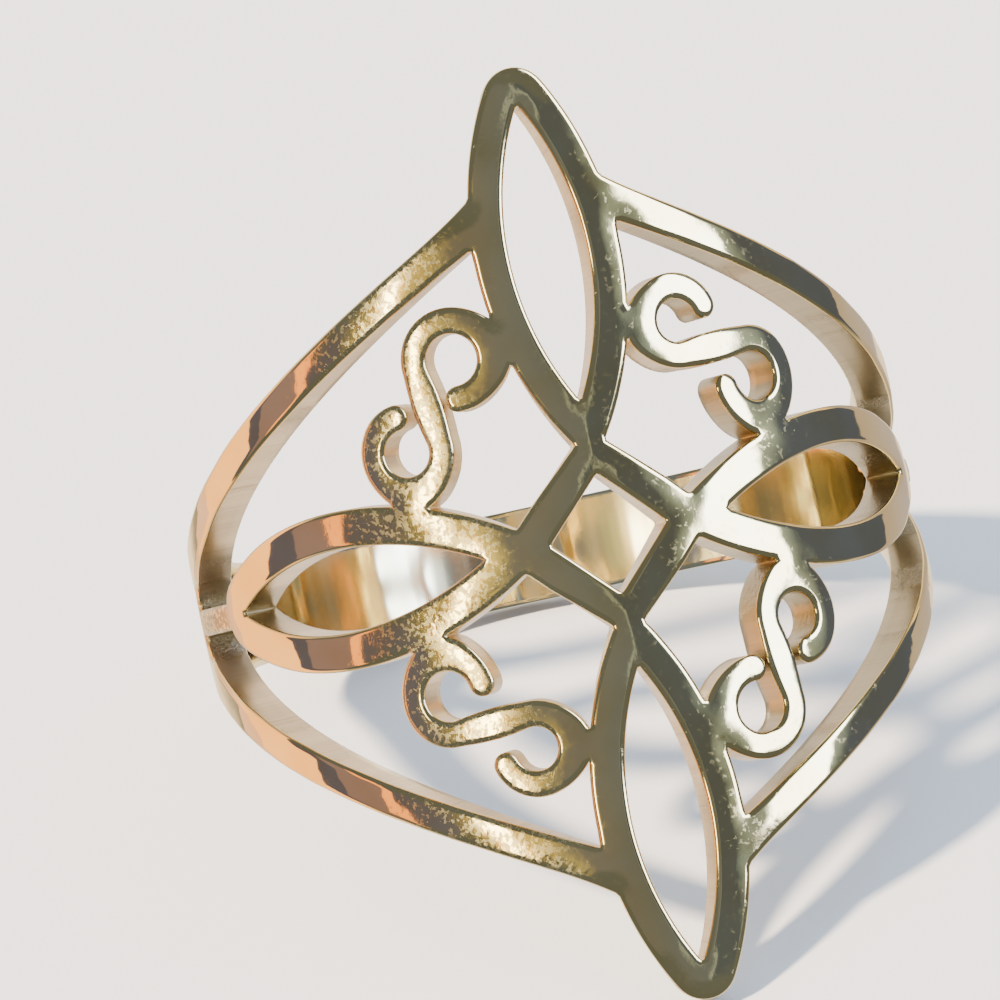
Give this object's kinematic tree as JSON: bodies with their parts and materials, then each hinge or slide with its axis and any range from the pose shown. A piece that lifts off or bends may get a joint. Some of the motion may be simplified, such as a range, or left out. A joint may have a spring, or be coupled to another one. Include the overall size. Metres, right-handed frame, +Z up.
{
  "type": "witch knot ring",
  "caption": "Pierced sheet ring: a witch knot of leaves, a square and S scrolls on the face, tapering by two arms to a narrow shank.",
  "frame": {"origin": "middle of the box's underside: the table under the ring as it lies on its side", "axes": "+X across the face, to the right as the face is seen; +Y from the face to the back of the shank; +Z up from the table. The finger's axis lies in the YZ plane and leans 29.9 degrees from +Z towards +Y"},
  "size_m": [0.0204, 0.0246, 0.0222],
  "materials": {
    "gold": "mirror polished, with fine dust and scratches on the faces and satin cut edges"
  },
  "bodies": {
    "root": {"knot_ring": "gold"}
  },
  "joints": []
}
